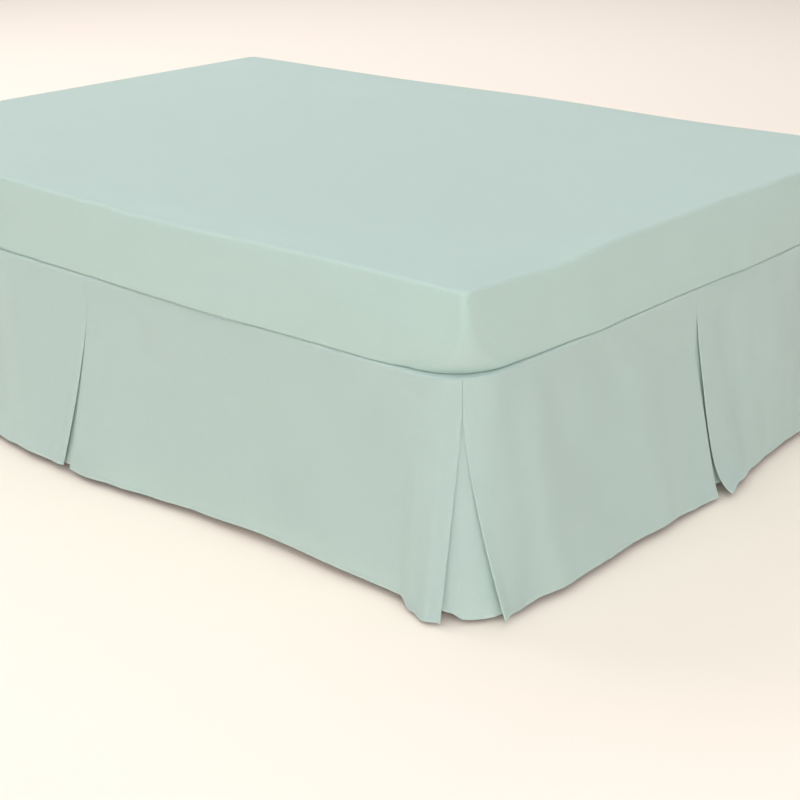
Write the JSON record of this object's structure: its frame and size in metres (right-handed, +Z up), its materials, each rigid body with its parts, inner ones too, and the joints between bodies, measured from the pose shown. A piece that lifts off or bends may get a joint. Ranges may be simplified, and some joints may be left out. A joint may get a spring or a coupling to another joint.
{
  "type": "bed skirt on a divan bed with mattress",
  "caption": "Tailored bed skirt with inverted box pleats, hung to the floor from between the base and the mattress of a divan bed in a matching fitted sheet.",
  "frame": {"origin": "centre of the footprint, on the floor under the feet", "axes": "+Z up, +Y towards the head end, which carries no skirt, +X towards the bed's right side as seen from the foot end"},
  "size_m": [1.4334, 1.9844, 0.5883],
  "materials": {
    "skirt_cotton": "matt plain-weave cotton in pale sage",
    "fitted_sheet_cotton": "matt plain-weave cotton in pale sage, drawn smooth over the mattress",
    "base_ticking": "matt off-white ticking",
    "beech": "satin beech"
  },
  "bodies": {
    "root": {"skirt_platform": "skirt_cotton", "skirt_panel_left_head": "skirt_cotton", "skirt_panel_left_foot": "skirt_cotton", "skirt_panel_foot_left": "skirt_cotton", "skirt_panel_foot_right": "skirt_cotton", "skirt_panel_right_foot": "skirt_cotton", "skirt_panel_right_head": "skirt_cotton", "pleat_underlay_left_mid": "skirt_cotton", "pleat_underlay_left_corner": "skirt_cotton", "pleat_underlay_foot_mid": "skirt_cotton", "pleat_underlay_right_corner": "skirt_cotton", "pleat_underlay_right_mid": "skirt_cotton", "bed_base": "base_ticking", "base_foot_1": "beech", "base_foot_2": "beech", "base_foot_3": "beech", "base_foot_4": "beech", "base_foot_5": "beech", "base_foot_6": "beech", "mattress": "fitted_sheet_cotton"}
  },
  "joints": []
}
